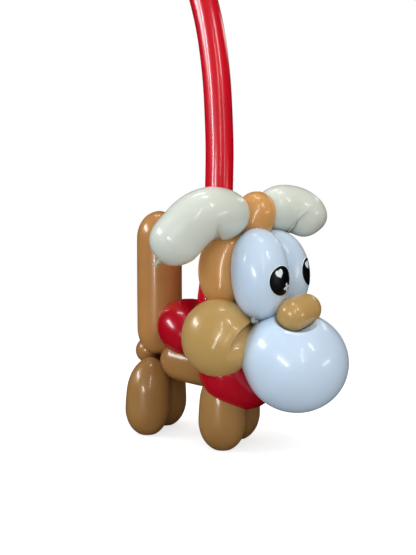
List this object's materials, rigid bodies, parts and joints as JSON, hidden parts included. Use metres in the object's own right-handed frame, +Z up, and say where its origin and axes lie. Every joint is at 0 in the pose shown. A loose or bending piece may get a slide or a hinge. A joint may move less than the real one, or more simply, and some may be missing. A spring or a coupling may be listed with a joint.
{
  "type": "balloon dog",
  "caption": "Twisted-balloon puppy with a round white muzzle, drooping ears, stick-on eyes and a stiff balloon leash.",
  "frame": {"origin": "on the floor, under the middle of the whole part", "axes": "+X is the way the dog looks, +Y is the dog's left, +Z is up, along the leash"},
  "size_m": [0.2252, 0.1558, 0.489],
  "materials": {
    "mocha_rubber": "glossy tan latex",
    "white_rubber": "glossy white latex",
    "ivory_rubber": "glossy ivory latex",
    "red_rubber": "glossy red latex",
    "eye_vinyl": "printed sticker"
  },
  "bodies": {
    "root": {"body_balloon": "mocha_rubber", "head_balloon": "mocha_rubber", "nose_balloon": "mocha_rubber", "muzzle_balloon": "white_rubber", "face_balloon": "white_rubber", "ear_balloon": "ivory_rubber", "collar_balloon": "red_rubber", "leash_balloon": "red_rubber", "right_eye": "eye_vinyl", "left_eye": "eye_vinyl"}
  },
  "joints": []
}
